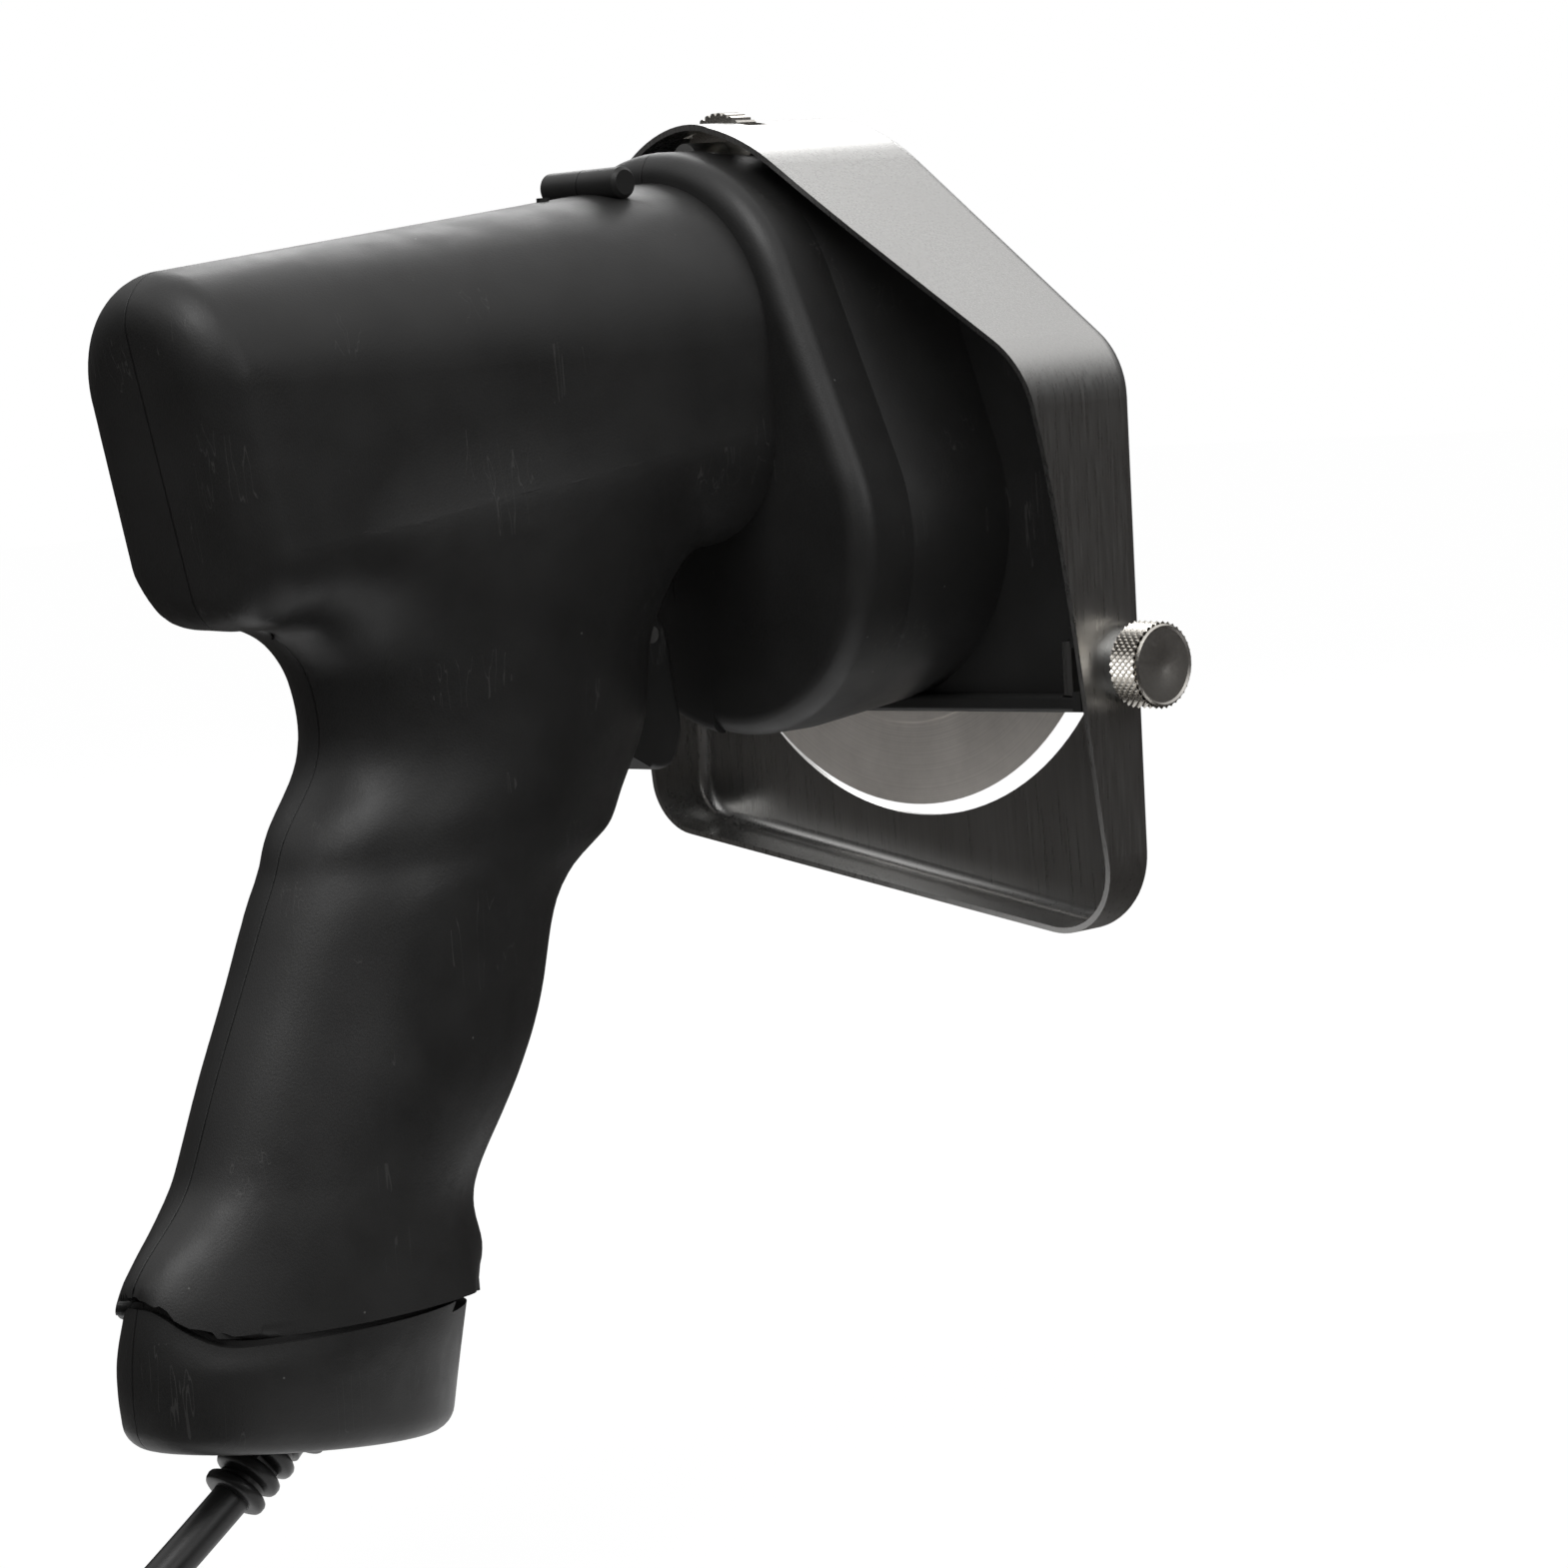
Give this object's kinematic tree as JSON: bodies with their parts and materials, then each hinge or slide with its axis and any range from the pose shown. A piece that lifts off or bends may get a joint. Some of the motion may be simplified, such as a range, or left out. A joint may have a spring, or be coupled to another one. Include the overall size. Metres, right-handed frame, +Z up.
{
  "type": "electric kebab slicer",
  "caption": "Hand-held electric slicer with a round blade in a formed steel guard, a barrel motor housing, a trigger handle and a mains cord.",
  "frame": {"origin": "centre of the handle's grip, on the parting plane of the housing", "axes": "+X forward, square to the guard's front plate; +Z up along the handle; -Y towards the lock knob's side"},
  "size_m": [0.3388, 0.134, 0.2462],
  "materials": {
    "black_plastic": "satin moulded",
    "steel_sheet": "brushed stainless",
    "blade_steel": "ground",
    "nickel": "nickel plated, knurled",
    "zinc_steel": "zinc plated",
    "bearing_steel": "polished",
    "bronze": "sintered bronze",
    "brass": "plain",
    "copper": "enamelled copper",
    "iron_laminations": "laminated",
    "carbon": "carbon",
    "cable_rubber": "rubber sheath",
    "light_plastic": "moulded"
  },
  "bodies": {
    "housing": {"housing_right": "black_plastic", "housing_left": "black_plastic", "housing_screws": "zinc_steel", "gearbox_shell": "black_plastic", "gearbox_screws": "zinc_steel", "blade_cover": "black_plastic", "cover_screws": "zinc_steel", "adjusting_stud": "zinc_steel", "arbor_bearing": "bearing_steel", "arbor_bush": "bronze", "stator_core": "iron_laminations", "field_coils": "copper", "front_motor_bearing": "bearing_steel", "rear_motor_bearing": "bearing_steel", "brush_holders": "brass", "brushes": "carbon", "trigger_pin": "zinc_steel", "switch_body": "black_plastic", "terminal_block": "light_plastic", "suppressor_capacitor": "light_plastic", "wiring_leads": "light_plastic", "strain_relief": "cable_rubber", "cable_tail": "cable_rubber", "cord_clamp": "zinc_steel", "cord": "cable_rubber", "cord_coil": "cable_rubber", "coil_tie": "black_plastic", "plug_body": "cable_rubber", "plug_pins": "brass"},
    "guard": {"guard": "steel_sheet", "clamp_bar": "steel_sheet"},
    "thickness_wheel": {"thickness_wheel": "nickel"},
    "lock_washer": {"lock_washer": "zinc_steel"},
    "lock_knob": {"lock_knob": "nickel"},
    "blade_spindle": {"blade": "blade_steel", "blade_washer": "zinc_steel", "blade_screw": "zinc_steel", "arbor_shaft": "zinc_steel", "drive_gear": "zinc_steel"},
    "armature": {"motor_shaft": "zinc_steel", "pinion": "zinc_steel", "armature_core": "iron_laminations", "armature_windings": "copper", "commutator": "copper"},
    "trigger": {"trigger": "black_plastic"},
    "switch_button": {"switch_button": "light_plastic"}
  },
  "joints": [
    {"name": "blade_spin", "type": "hinge", "parent": "housing", "child": "blade_spindle", "pos_m": [0.1166, -0.01334, 0.0713], "axis": [1, 0, 0], "continuous": true},
    {"name": "motor_spin", "type": "hinge", "parent": "housing", "child": "armature", "pos_m": [0.039, 0, 0.105], "axis": [1, 0, 0], "continuous": true},
    {"name": "guard_slide", "type": "slide", "parent": "housing", "child": "guard", "axis": [-1, 0, 0], "range_m": [0, 0.008]},
    {"name": "thickness_turn", "type": "hinge", "parent": "guard", "child": "thickness_wheel", "pos_m": [0.09475, 0, 0.1366], "axis": [1, 0, 0], "range_deg": [0, 1440]},
    {"name": "lock_back_off", "type": "slide", "parent": "guard", "child": "lock_washer", "axis": [0, -0.9994, -0.0349], "range_m": [0, 0.00105]},
    {"name": "lock_turn", "type": "hinge", "parent": "lock_washer", "child": "lock_knob", "pos_m": [0.1141, -0.0675, 0.0464], "axis": [0, -0.9994, -0.0349], "range_deg": [0, 540]},
    {"name": "trigger_squeeze", "type": "hinge", "parent": "housing", "child": "trigger", "pos_m": [0.0575, 0, 0.0574], "axis": [0, 1, 0], "range_deg": [0, 8], "stiffness_Nm_per_rad": 0.6},
    {"name": "button_press", "type": "slide", "parent": "housing", "child": "switch_button", "axis": [-1, 0, 0], "range_m": [0, 0.0021]}
  ],
  "couplings": [
    {"joint": "motor_spin", "follows": "blade_spin", "ratio": -4.2727},
    {"joint": "thickness_turn", "follows": "guard_slide", "rad_per_m": 3141.6},
    {"joint": "lock_back_off", "follows": "lock_turn", "m_per_rad": 0.0001114},
    {"joint": "button_press", "follows": "trigger_squeeze", "m_per_rad": 0.0148}
  ]
}
